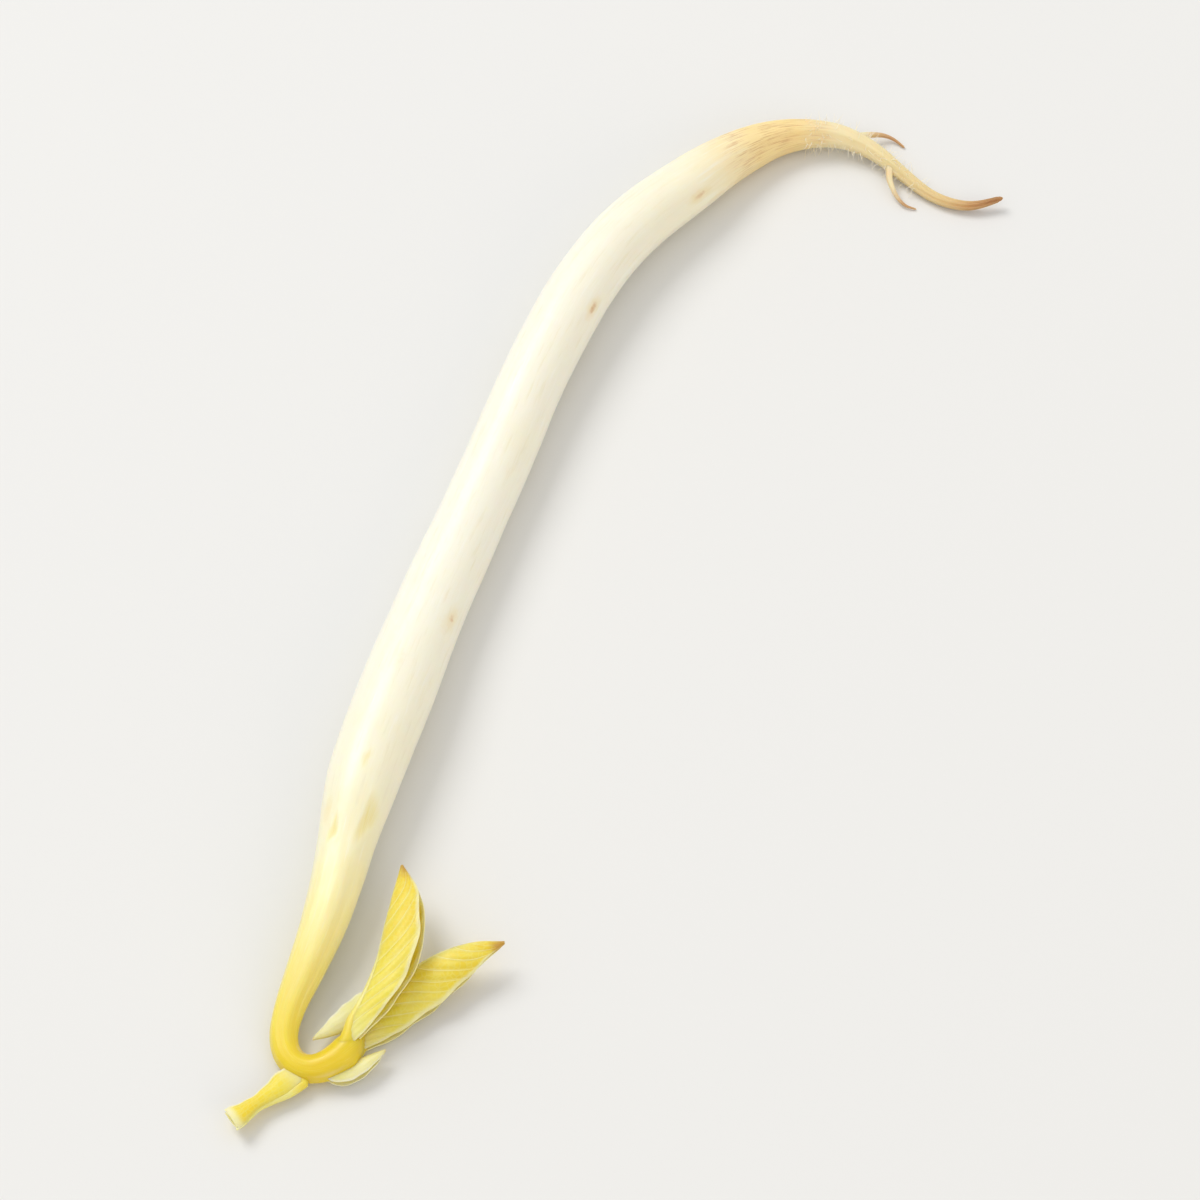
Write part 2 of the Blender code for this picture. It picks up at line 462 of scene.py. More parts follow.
def makeSkin():
    material, board, shader = newMaterial("sproutSkin")
    skin = board.put("ShaderNodeAttribute", {"attribute_name": "girdle"}, out=1)
    over, _, travel = board.split(skin)
    place = board.put("ShaderNodeTexCoord", None, None, out=3)

    patch = board.cloud(place, 260.0, 3.0, 0.55)
    fine = board.cloud(place, 1500.0, 4.0, 0.6)
    grain = board.cloud(board.stretch(skin, (4.0, 4.0, 0.22)), 2.0, 4.0, 0.6)
    thread = board.cloud(board.stretch(skin, (13.0, 13.0, 0.45)), 1.9, 3.0, 0.6)

    longest = endTravel + 2.0
    drift = (patch - 0.5) * 3.0 + (grain - 0.5) * 2.4
    stops = [(at / longest, tint(*colour)) for at, colour in skinTones]
    base = board.put("ShaderNodeValToRGB", {"stops": stops}, {0: (travel + drift) / longest})

    # chalky and glassy streaks along the flesh, and faint fibres
    pale = travel.between(collarTravel - 2.0, collarTravel + 2.0)
    pale = pale * (1.0 - travel.between(nodeTravel, bendTravel))
    base = board.blend(grain.between(0.54, 0.74) * skinShare["chalk"] * pale, base, skinLook["chalk"])
    glassy = 1.0 - grain.between(0.30, 0.46)
    base = board.blend(glassy * skinShare["glass"] * pale, base, skinLook["glass"])
    base = board.blend(thread.between(0.54, 0.74) * skinShare["fibre"], base, skinLook["honey"])
    base = board.blend(patch.between(0.52, 0.74) * skinShare["patch"], base, skinLook["honey"])

    # lime and cream lines on the hook
    hook = travel.between(nodeTravel + 2.0, bendTravel - 1.0)
    base = board.blend(thread.between(0.50, 0.70) * hook * skinShare["lime"], base, skinLook["lime"])
    creamy = 1.0 - thread.between(0.32, 0.48)
    base = board.blend(creamy * hook * skinShare["cream"], base, skinLook["cream"])

    # reddish streaks at the collar, stronger on the upper side
    collar = travel.between(collarTravel - 6.6, collarTravel - 4.6)
    collar = collar * (1.0 - travel.between(collarTravel - 1.2, collarTravel + 1.4))
    ragged = thread + (patch - 0.5) * 0.6 + (fine - 0.5) * 0.25
    streaks = ragged.between(0.50, 0.72) * collar * over.between(-0.4, 0.9, 0.35, 1.0)
    base = board.blend(streaks * skinShare["streak"], base, skinLook["streak"])

    # a few tan flecks with pale honey halos, longer than wide
    warp = (board.cloud(board.stretch(skin, (3.0, 3.0, 2.0)), 2.0, 2.0) - 0.5) * 0.5
    cells = board.put("ShaderNodeTexVoronoi", {"feature": "F1"},
                      {"Vector": board.stretch(skin, flecks["cells"]), "Scale": 1.0, "Randomness": 1.0})
    lot = board.split(cells.sibling("Color"))[0]
    chosen = lot > flecks["lot"]
    spot = cells + warp * flecks["warp"]
    halo = (1.0 - spot.between(0.12, 0.42)) * chosen
    base = board.blend(halo * skinShare["halo"], base, skinLook["halo"])
    fleck = (1.0 - spot.between(0.05, 0.18)) * chosen * fine.between(0.3, 0.55, 0.5, 1.0)
    base = board.blend(fleck * skinShare["fleck"], base, skinLook["fleck"])

    # the stained scars of the seed leaves and their pale rims
    stain = board.put("ShaderNodeAttribute", {"attribute_name": "stain"}, out=2)
    rim = board.put("ShaderNodeAttribute", {"attribute_name": "rim"}, out=2)
    base = board.blend(rim * skinShare["rim"], base, skinLook["rim"])
    base = board.blend(stain * thread.between(0.30, 0.60, 0.45, 1.0), base, skinLook["scar"])

    rootShare = 1.0 - travel.between(collarTravel - 3.0, collarTravel + 3.0)
    rough = (fine - 0.5) * 0.16 + flesh["roughness"] + rootShare * 0.20 + stain * 0.2
    grooves = board.cloud(board.stretch(skin, (20.0, 20.0, 0.7)), 1.7, 3.0, 0.6)
    wrinkles = board.cloud(board.stretch(skin, (1.6, 1.6, 5.0)), 1.4, 2.0)
    bent = rootShare + travel.between(bendTravel - 2.5, bendTravel)
    height = grooves * (rootShare.between(0.0, 1.0, 0.5, 1.4) + hook * 0.6)
    height = height + fine * 0.4 + wrinkles * bent * 0.8
    plug(board, shader, Base_Color=base, Roughness=rough, Normal=board.bump(height, 0.25, 0.00003),
         Coat_Weight=(1.0 - rootShare) * flesh["damp"], Coat_Roughness=flesh["dampRoughness"],
         Subsurface_Weight=flesh["subsurface"], Subsurface_Scale=flesh["reach"],
         Subsurface_Radius=flesh["radius"], Specular_IOR_Level=0.40)
    return material


skinFinish = makeSkin()


# The skin itself: one closed surface from root tip to leaf node, ribbed on the hook and creased on the root

skinShape = {
    "sides": 96, "ribs": 6.0, "lumpSize": 0.006,
    "stemRib": 0.006, "hookRib": 0.030, "rootRib": 0.022,
    "stemLump": 0.060, "thinLump": 0.015,
    "tipCap": 2.2, "nodeCap": 0.95,
}
scars = (      # angle from the top towards the left, place along, half length, half width, relief in mm
    {"angle": -0.42, "travel": nodeTravel + 0.30, "long": 0.60, "wide": 0.22,
     "rim": 0.022, "pit": 0.034, "stain": 0.50},
    {"angle": 0.66, "travel": nodeTravel - 0.55, "long": 1.00, "wide": 0.38,
     "rim": 0.026, "pit": 0.040, "stain": 0.48},
    {"angle": 0.08, "travel": nodeTravel - 3.1, "long": 0.40, "wide": 0.17,
     "rim": 0.0, "pit": 0.012, "stain": 0.34},
)
collars = {    # the skin is drawn out along each leaf stalk: where it starts, what it heads for, mm
    "stalks": (((25.65, 1.85, 0.50), (24.6, 2.35, 0.48)), ((25.9, 1.60, 0.88), (24.5, 1.95, 1.50))),
    "radius": 0.36, "drawn": 0.30, "fade": 0.24,
}


def ribAt(travel):
    height = skinShape["stemRib"] + skinShape["hookRib"] * ease(travel, nodeTravel - 0.5, nodeTravel + 3.0)
    height *= 1.0 - 0.65 * ease(travel, nodeTravel + 7.0, bendTravel)
    return height + skinShape["rootRib"] * (1.0 - ease(travel, collarTravel - 2.5, collarTravel + 2.0)) * 0.9


def lumpAt(travel):
    plump = ease(travel, collarTravel - 6.0, collarTravel + 5.0)
    plump *= 1.0 - ease(travel, nodeTravel - 1.0, nodeTravel + 4.0)
    return skinShape["thinLump"] + (skinShape["stemLump"] - skinShape["thinLump"]) * plump


axisCentres = axisSamples[:, :3] - planMiddle
axisCentres[:, 2] += axisSamples[:, 3] / 2


def drawCollars(places):      # places: the skin's points, m
    for start, heading in collars["stalks"]:
        forward = numpy.subtract(heading, start)
        forward /= numpy.linalg.norm(forward)
        away = places / mm - (start - planMiddle)
        ahead = away @ forward
        beside = numpy.linalg.norm(away - ahead[:, None] * forward, axis=1)
        share = numpy.exp(-(numpy.clip(beside - collars["radius"], 0.0, None) / collars["fade"]) ** 2)
        places += forward * (collars["drawn"] * mm * share * ease(ahead, 0.1, 0.6))[:, None]


def girdle(thing):      # each point's turn about the axis, 0 on top, and its travel, for the finish to follow
    mesh = thing.data
    count = len(mesh.vertices)
    travel = numpy.zeros(count)
    mesh.attributes["travel"].data.foreach_get("value", travel)
    places = numpy.zeros(count * 3)
    normals = numpy.zeros(count * 3)
    mesh.vertices.foreach_get("co", places)
    mesh.vertices.foreach_get("normal", normals)
    places = places.reshape(-1, 3)
    normals = normals.reshape(-1, 3)
    forward = numpy.gradient(axisCentres, axis=0)
    left = numpy.cross((0.0, 0.0, 1.0), forward)
    left /= numpy.linalg.norm(left, axis=1)[:, None]
    centre = numpy.column_stack([numpy.interp(travel, axisSamples[:, 4], column) for column in axisCentres.T])
    leftHere = numpy.column_stack([numpy.interp(travel, axisSamples[:, 4], column) for column in left.T])
    away = places / mm - centre
    turn = numpy.arctan2((away * leftHere).sum(axis=1), away[:, 2])
    around = numpy.column_stack([numpy.cos(turn), numpy.sin(turn), travel])
    mesh.attributes.new("girdle", "FLOAT_VECTOR", "POINT").data.foreach_set("vector", around.ravel())

    radius = numpy.interp(travel, axisSamples[:, 4], axisSamples[:, 3] / 2)
    stain = numpy.zeros(count)
    ring = numpy.zeros(count)
    for scar in scars:
        sideways = (turn - scar["angle"]) * radius / scar["wide"]
        lengthwise = (travel - scar["travel"]) / scar["long"]
        distance = numpy.hypot(lengthwise + 0.35 * sideways, sideways)
        distance *= 1.0 + 0.22 * numpy.sin(3 * numpy.arctan2(lengthwise, sideways) + 7 * scar["angle"])
        rim = numpy.exp(-((distance - 1.15) / 0.30) ** 2)
        pit = numpy.exp(-(distance / 0.80) ** 2)
        places += normals * ((rim * scar["rim"] - pit * scar["pit"]) * mm)[:, None]
        stain = numpy.maximum(stain, scar["stain"] * (1.0 - ease(distance, 0.25, 1.35)))
        ring = numpy.maximum(ring, rim)
    drawCollars(places)
    mesh.vertices.foreach_set("co", places.ravel())
    mesh.attributes.new("stain", "FLOAT", "POINT").data.foreach_set("value", stain)
    mesh.attributes.new("rim", "FLOAT", "POINT").data.foreach_set("value", ring)
    smoothShade(thing)


skinRows = tubeRows(axisCentres, axisSamples[:, 3] / 2, axisSamples[:, 4], ribAt, lumpAt,
                    (skinShape["tipCap"], skinShape["nodeCap"]))
sproutSkin = applyTree(layPaths("sproutSkin", [skinRows]), sweepTree, {
    "Sides": skinShape["sides"], "Ribs": skinShape["ribs"], "Lump Size": skinShape["lumpSize"], "Floor": 0.0,
    "Skin": skinFinish,
})
girdle(sproutSkin)
settle(sproutSkin, "flesh", "hypocotyl", "epicotyl", "root")
print("skin swept from root tip to leaf node")


# Side roots and root hairs

threadLook = {"base": (232, 208, 160), "tip": (184, 134, 88), "pale": (242, 228, 188)}
sideRoots = {
    "stops": (                      # x, y, height of the middle and diameter, mm
        ((-28.35, 4.1, 0.80, 0.50), (-28.9, 4.45, 0.76, 0.40), (-29.4, 4.95, 0.62, 0.32),
         (-29.85, 5.6, 0.38, 0.22), (-29.95, 6.2, 0.20, 0.14), (-29.80, 6.75, 0.10, 0.08)),
        ((-28.3, 6.6, 0.52, 0.48), (-27.8, 6.75, 0.56, 0.36), (-27.3, 7.0, 0.48, 0.28),
         (-26.75, 7.55, 0.32, 0.20), (-26.50, 8.1, 0.18, 0.13), (-26.55, 8.6, 0.09, 0.07)),
    ),
    "step": 0.06, "sides": 20, "ribs": 5.0, "rib": 0.010, "lump": 0.012, "lumpSize": 0.001, "cap": 2.0,
}
hairLook = {"base": (250, 242, 218), "tip": (250, 242, 218), "pale": (253, 249, 236)}
hairs = {"density": 1.6e7, "shortest": 0.15, "longest": 0.55, "thickness": 0.040, "seed": 11,
         "from": 4.0, "to": collarTravel - 4.5, "floor": 0.00001}


def makeThread(name, look, roughness):
    material, board, shader = newMaterial(name)
    place = board.put("ShaderNodeTexCoord", None, None, out=3)
    travel = board.put("ShaderNodeAttribute", {"attribute_name": "travel"}, out=2)
    fine = board.cloud(place, 2600.0, 3.0, 0.6)
    patch = board.cloud(place, 900.0, 2.0)
    base = board.blend(patch.between(0.35, 0.65), full(look["base"]), full(look["pale"]))
    base = board.blend((travel + (fine - 0.5) * 0.6).between(1.0, 2.8) * 0.8, base, full(look["tip"]))
    plug(board, shader, Base_Color=base, Roughness=(fine - 0.5) * 0.2 + roughness,
         Normal=board.bump(fine, 0.3, 0.00002), Subsurface_Weight=0.4, Subsurface_Scale=0.0003,
         Subsurface_Radius=(1.0, 0.7, 0.4))
    return material


threadFinish = makeThread("rootThread", threadLook, 0.5)


def makeSideRoots():
    def rib(travel):
        return sideRoots["rib"]

    def lump(travel):
        return sideRoots["lump"]

    paths = []
    for stops in sideRoots["stops"]:
        samples, _ = evenPath(stops, sideRoots["step"])
        caps = (0.0, sideRoots["cap"])
        centres = samples[:, :3] - planMiddle
        paths.append(tubeRows(centres, samples[:, 3] / 2, samples[:, 4], rib, lump, caps))
    thing = applyTree(layPaths("sideRoots", paths), sweepTree, {
        "Sides": sideRoots["sides"], "Ribs": sideRoots["ribs"], "Lump Size": sideRoots["lumpSize"],
        "Floor": 0.0, "Skin": threadFinish,
    })
    smoothShade(thing)
    settle(thing, "root")


def makeHairTree():
    tree, board, given = startTree("rootHairs", (
        ("Density", "Float", 1.0), ("Shortest", "Float", 0.0002), ("Longest", "Float", 0.0006),
        ("Thickness", "Float", 0.03), ("From", "Float", 0.0), ("To", "Float", 1.0), ("Seed", "Int", 0),
        ("Skin", "Material", None),
    ))
    travel = namedValue(board, "travel")
    zone = (travel > given["From"]) * (travel < given["To"])
    spots = board.put("GeometryNodeDistributePointsOnFaces", {"distribute_method": "RANDOM"}, {
        "Mesh": given["Geometry"], "Selection": zone, "Density": given["Density"], "Seed": given["Seed"],
    })
    line = board.put("GeometryNodeCurveQuadraticBezier", None, {
        "Resolution": 5, "Start": (0, 0, -0.1), "Middle": (0.05, 0, 0.5), "End": (0.45, 0, 0.95),
    })
    slim = (1.0 - board.put("GeometryNodeSplineParameter") * 0.75) * given["Thickness"]
    line = board.put("GeometryNodeSetCurveRadius", None, {"Curve": line, "Radius": slim})
    ring = board.put("GeometryNodeCurvePrimitiveCircle", None, {"Resolution": 5, "Radius": 1.0})
    hair = tubeAlong(board, line, ring, slim)

    def draw(low, high, offset):
        return board.put("FunctionNodeRandomValue", {"data_type": "FLOAT"},
                         {2: low, 3: high, "Seed": given["Seed"] + offset}, out=1)

    size = draw(given["Shortest"], given["Longest"], 1)
    hairsHere = board.put("GeometryNodeInstanceOnPoints", None, {
        "Points": spots, "Instance": hair, "Rotation": spots.sibling("Rotation"),
        "Scale": board.vector(size, size, size),
    })
    spin = board.vector(draw(-0.5, 0.5, 2), draw(-0.5, 0.5, 3), draw(0.0, 2 * math.pi, 4))
    hairsHere = board.put("GeometryNodeRotateInstances", None, {"Instances": hairsHere, "Rotation": spin})
    endTree(board, hairsHere, hairs["floor"], given["Skin"])
    return tree


def makeRootHairs():
    thing = addThing("rootHairs", sproutSkin.data.copy())
    applyTree(thing, makeHairTree(), {
        "Density": hairs["density"], "Shortest": hairs["shortest"] * mm, "Longest": hairs["longest"] * mm,
        "Thickness": hairs["thickness"], "From": hairs["from"], "To": hairs["to"], "Seed": hairs["seed"],
        "Skin": makeThread("rootHair", hairLook, 0.45),
    })
    smoothShade(thing)
    settle(thing, "root")


makeSideRoots()
makeRootHairs()
print("side roots and root hairs grown")


# Leaves, bud and scales: folded blades, with the keel of the fold on the left of their path
# Stops: x, y and z of the blade's middle, its depth and thickness, mm, and its roll, degrees
# ribRadii: share of the length, and the rib's radius there, mm

midrib = (
    (0.0, 0.51), (0.07, 0.42), (0.12, 0.32), (0.19, 0.23),
    (0.30, 0.18), (0.55, 0.13), (0.85, 0.07), (1.0, 0.03),
)
longLeaf = {
    "stops": (
        (25.65, 1.85, 0.50, 0.72, 0.62, 0),
        (24.6, 2.35, 0.48, 1.0, 0.65, 0),
        (23.2, 2.95, 0.62, 1.65, 0.8, 6),
        (21.7, 3.65, 0.85, 2.0, 0.9, 12),
        (20.3, 4.5, 1.15, 1.72, 0.85, 16),
        (19.2, 5.35, 1.40, 1.0, 0.62, 14),
        (18.35, 6.25, 1.60, 0.10, 0.20, 10),
    ),
    "wave": 0.06, "waves": 4.0, "seed": 3, "wall": 0.13, "grid": (230, 60), "opens": 0.20, "ribRadii": midrib,
    "quilt": 0.028,
}
shortLeaf = {
    "stops": (
        (25.9, 1.60, 0.88, 0.72, 0.62, 0),
        (24.5, 1.95, 1.50, 0.95, 0.65, -4),
        (22.9, 2.3, 1.90, 1.4, 0.8, -10),
        (21.2, 2.35, 2.10, 1.8, 0.9, -16),
        (19.5, 1.95, 2.12, 1.82, 0.95, -20),
        (18.0, 1.35, 2.00, 1.2, 0.72, -16),
        (16.75, 0.60, 1.85, 0.10, 0.20, -10),
    ),
    "wave": 0.06, "waves": 5.0, "seed": 8, "wall": 0.13, "grid": (230, 60), "opens": 0.18, "ribRadii": midrib,
    "quilt": 0.028,
}
shootBud = {
    "stops": (
        (27.15, 0.35, 0.60, 1.15, 0.75, 0),
        (28.0, -0.15, 0.56, 1.15, 0.74, 0),
        (28.7, -0.52, 0.56, 0.78, 0.66, 0),
        (29.25, -0.82, 0.62, 0.62, 0.60, 0),
        (29.75, -1.08, 0.70, 0.80, 0.62, 0),
        (30.15, -1.30, 0.76, 1.04, 0.66, 0),
        (30.42, -1.46, 0.80, 1.08, 0.62, 0),
    ),
    "wave": 0.05, "waves": 2.0, "seed": 5, "wall": 0.11, "grid": (110, 44), "opens": 0.02,
    "ribRadii": ((0.0, 0.22), (0.4, 0.15), (0.8, 0.10), (1.0, 0.06)),
}
innerScale = {
    "stops": (
        (22.5, 2.05, 1.10, 0.6, 0.5, 0),
        (23.2, 1.60, 0.90, 1.05, 0.58, 0),
        (24.0, 1.20, 0.78, 1.10, 0.56, 0),
        (24.75, 0.72, 0.71, 0.68, 0.42, 0),
        (25.5, 0.18, 0.65, 0.08, 0.16, 0),
    ),
    "wave": 0.03, "waves": 1.5, "seed": 6, "wall": 0.09, "grid": (90, 36), "opens": 0.14,
    "ribRadii": ((0.0, 0.21), (0.10, 0.13), (0.5, 0.07), (1.0, 0.03)),
    "neck": (                       # down from the short leaf: x, y, z and diameter, mm
        (22.50, 1.86, 1.68, 0.30),
        (22.47, 1.96, 1.38, 0.34),
        (22.50, 2.05, 1.08, 0.42),
    ),
}
outerScale = {
    "stops": (
        (26.5, 1.10, 0.60, 0.6, 0.6, 0),
        (26.6, 1.85, 0.54, 0.85, 0.62, 0),
        (26.15, 2.48, 0.58, 0.88, 0.60, 0),
        (25.5, 2.98, 0.74, 0.56, 0.45, 0),
        (24.85, 3.38, 0.90, 0.08, 0.16, 0),
    ),
    "wave": 0.03, "waves": 1.5, "seed": 7, "wall": 0.09, "grid": (90, 36), "opens": 0.02,
    "ribRadii": ((0.0, 0.12), (0.5, 0.07), (1.0, 0.03)),
}
sideVeins = {
    "count": 8, "first": 0.10, "gap": 0.094, "lean": 0.27, "curve": 1.35, "sway": 0.12,
    "radius": 0.028, "sink": 0.010, "sides": 10,
}
ribs = {"samples": 120, "sides": 24, "caps": (0.8, 1.5), "neckStep": 0.06}
sheets = {"step": 0.05, "nudge": 0.004}      # mm between rows, and the share that normals are measured over


def veinPhase(along, reach):      # whole numbers on the side veins, for shares or for wires
    return (along - reach ** sideVeins["curve"] * sideVeins["lean"] - sideVeins["first"]) / sideVeins["gap"]


def frameBlade(leaf):
    samples, _ = evenPath(leaf["stops"], sheets["step"])
    places = samples[:, :3] - planMiddle
    forward = numpy.gradient(places, axis=0)
    forward /= numpy.linalg.norm(forward, axis=1)[:, None]
    left = numpy.cross((0.0, 0.0, 1.0), forward)
    left /= numpy.linalg.norm(left, axis=1)[:, None]
    up = numpy.cross(forward, left)
    roll = numpy.radians(samples[:, 5])[:, None]
    keelward = left * numpy.cos(roll) + up * numpy.sin(roll)
    outward = up * numpy.cos(roll) - left * numpy.sin(roll)
    leaf["columns"] = numpy.column_stack([places, keelward, outward, samples[:, 3:5]])


def sheet(leaf, along, across):      # points of the folded sheet: along 0 to 1, across -1 to 1, keel at 0
    columns = leaf["columns"]
    index = numpy.clip(along, 0.0, 1.0) * (len(columns) - 1)
    steps = numpy.arange(len(columns))
    values = numpy.stack([numpy.interp(index, steps, column) for column in columns.T], axis=-1)
    centre, keelward, outward = values[..., 0:3], values[..., 3:6], values[..., 6:9]
    depth, thickness = values[..., 9], values[..., 10]
    depth = depth * (0.35 + 0.65 * ease(along, 0.0, leaf["opens"])) if leaf["opens"] > 0.1 else depth
    reach = numpy.abs(across)
    swell = numpy.sin(math.pi * numpy.clip(along, 0.02, 0.98)) ** 0.6
    profile = numpy.sin(0.5 * math.pi * numpy.clip(reach * 1.7, 0.0, 1.0) ** 0.8) * (1.0 - 0.30 * reach ** 5)
    lift = thickness * 0.46 * profile * (0.45 + 0.55 * swell)
    side = numpy.where(across >= 0, 1.0, -1.0)
    turns = 2 * math.pi * leaf["waves"] * along + leaf["seed"] + side * 1.7
    lift = lift + leaf["wave"] * numpy.sin(turns) * reach ** 3 * swell
    if "quilt" in leaf:
        quilting = leaf["quilt"] * numpy.cos(2 * math.pi * veinPhase(along, reach))
        lift = lift - quilting * swell * ease(reach, 0.05, 0.3) * (1 - 0.6 * reach)
    edge = depth * (0.5 - reach * (0.97 + 0.02 * numpy.sin(27 * along + leaf["seed"] + 2 * side)))
    return centre + keelward * edge[..., None] + outward * (lift * side)[..., None]


def outwardNormal(leaf, along, across):
    nudge = sheets["nudge"]
    forwardStep = sheet(leaf, along + nudge, across) - sheet(leaf, along - nudge, across)
    acrossStep = sheet(leaf, along, across + nudge) - sheet(leaf, along, across - nudge)
    normal = -numpy.cross(forwardStep, acrossStep)
    return normal / numpy.maximum(numpy.linalg.norm(normal, axis=-1)[..., None], 1e-9)


def growBlade(name, leaf, finish, slot, node):
    rowCount, columnCount = leaf["grid"]
    columnCount += 1 - columnCount % 2
    along, across = numpy.meshgrid(
        numpy.linspace(0, 1, rowCount), numpy.linspace(-1, 1, columnCount), indexing="ij")
    middle = sheet(leaf, along, across)
    normal = outwardNormal(leaf, numpy.clip(along, 0.01, 0.99), numpy.clip(across, -0.99, 0.99))
    wall = leaf["wall"] / 2 * (1.0 - 0.55 * numpy.abs(across) ** 4) * (1.0 - 0.5 * ease(along, 0.85, 1.0))
    outer = middle + normal * wall[..., None]
    inner = middle - normal * wall[..., None]
    points = numpy.concatenate([outer.reshape(-1, 3), inner.reshape(-1, 3)]) * mm
    points[:, 2] = numpy.maximum(points[:, 2], 0.0)
    layer = rowCount * columnCount

    def spot(row, column):
        return row * columnCount + column

    faces = []
    lastRow, lastColumn = rowCount - 1, columnCount - 1
    for r in range(lastRow):
        for c in range(lastColumn):
            quad = (spot(r, c), spot(r, c + 1), spot(r + 1, c + 1), spot(r + 1, c))
            faces.append(quad)
            faces.append(tuple(corner + layer for corner in reversed(quad)))
    border = [(spot(0, c), spot(0, c + 1)) for c in range(lastColumn)]
    border += [(spot(r, lastColumn), spot(r + 1, lastColumn)) for r in range(lastRow)]
    border += [(spot(lastRow, c + 1), spot(lastRow, c)) for c in range(lastColumn)]
    border += [(spot(r + 1, 0), spot(r, 0)) for r in range(lastRow)]
    faces += [(end, start, start + layer, end + layer) for start, end in border]

    mesh = bpy.data.meshes.new(name)
    mesh.from_pydata(points.tolist(), [], faces)
    shares = numpy.column_stack([along.ravel(), across.ravel() / 2 + 0.5])
    shares = numpy.concatenate([shares, shares])
    corners = numpy.zeros(len(mesh.loops), dtype=int)
    mesh.loops.foreach_get("vertex_index", corners)
    mesh.uv_layers.new(name="UVMap").data.foreach_set("uv", shares[corners].ravel())
    mesh.materials.append(finish)
    thing = addThing(name, mesh)
    smoothShade(thing, 75)
    settle(thing, slot, node)


def smooth(travel):      # the relief of a path with neither ribs nor lumps
    return 0.0


def sweepPlain(name, sides, paths, finish, slot):
    thing = applyTree(layPaths(name, paths), sweepTree, {
        "Sides": sides, "Ribs": 1.0, "Lump Size": 0.001, "Floor": 0.0, "Skin": finish,
    })
    smoothShade(thing)
    settle(thing, slot)


def growRib(name, leaf, finish, slot):      # the midrib along the keel, and the neck of a scale
    radiusShares, radii = zip(*leaf["ribRadii"])
    along = numpy.linspace(0.0, 1.0, ribs["samples"])
    atKeel = numpy.zeros_like(along)
    keel = sheet(leaf, along, atKeel)
    columns = leaf["columns"]
    centre = numpy.stack([numpy.interp(along, numpy.linspace(0, 1, len(columns)), column)
                          for column in columns.T[:3]], axis=-1)
    toKeel = ease(along, 0.0, max(leaf["opens"], 0.05))[:, None]
    radius = numpy.interp(along, radiusShares, radii)
    inward = -outwardNormal(leaf, numpy.clip(along, 0.01, 0.99), atKeel) * radius[:, None] * 0.35
    centres = centre * (1 - toKeel) + (keel + inward) * toKeel
    paths = [tubeRows(centres, radius, along, smooth, smooth, ribs["caps"])]
    if "neck" in leaf:
        samples, _ = evenPath(leaf["neck"], ribs["neckStep"])
        centres = samples[:, :3] - planMiddle
        travel = samples[:, 4] * 0.05
        paths.append(tubeRows(centres, samples[:, 3] / 2, travel, smooth, smooth, (0.0, 0.0)))
    sweepPlain(name, ribs["sides"], paths, finish, slot)


def growVeins(name, leaf, finish, slot):      # the side veins, raised on the outer faces
    reach = numpy.linspace(0.0, 0.93, 26)
    rise = leaf["wall"] / 2 - sideVeins["sink"]
    paths = []
    for side in (-1, 1):
        for index in range(sideVeins["count"]):
            sway = sideVeins["sway"] * math.sin(5 * index + leaf["seed"] + side)
            lengthwise = sideVeins["first"] + sideVeins["gap"] * (index + sway)
            lengthwise = lengthwise + sideVeins["lean"] * reach ** sideVeins["curve"]
            keep = lengthwise < 0.96
            lengthwise, across = lengthwise[keep], (reach * side)[keep]
            if len(across) < 8:
                continue
            points = sheet(leaf, lengthwise, across) + outwardNormal(leaf, lengthwise, across) * rise
            slim = sideVeins["radius"] * (1.0 - 0.75 * numpy.linspace(0, 1, len(across)) ** 1.2)
            paths.append(tubeRows(points, slim, lengthwise, smooth, smooth, (0.0, 0.0)))
    sweepPlain(name, sideVeins["sides"], paths, finish, slot)


leafLook = {      # colours, where the tip turns brown, and how far each mark covers the colour below it
    "base": (245, 224, 92), "green": (236, 220, 76), "gold": (240, 204, 52), "pale": (248, 240, 184),
    "tip": (178, 118, 52), "vein": (248, 236, 148), "brownFrom": 0.93, "brown": 0.8,
    "paleBase": 0.65, "paleEnd": 0.0, "net": 0.20, "lines": 0.32, "midline": 0.45, "margin": 0.75,
}
budLook = {
    **leafLook,
    "base": (246, 220, 68), "green": (243, 215, 56), "gold": (243, 209, 52),
    "brownFrom": 2.0, "margin": 0.95, "paleEnd": 0.9,
}
scaleLook = {
    **leafLook,
    "base": (243, 236, 180), "green": (236, 230, 150), "gold": (241, 230, 160), "pale": (247, 243, 214),
    "tip": (210, 168, 104), "brownFrom": 0.97, "margin": 0.6,
}


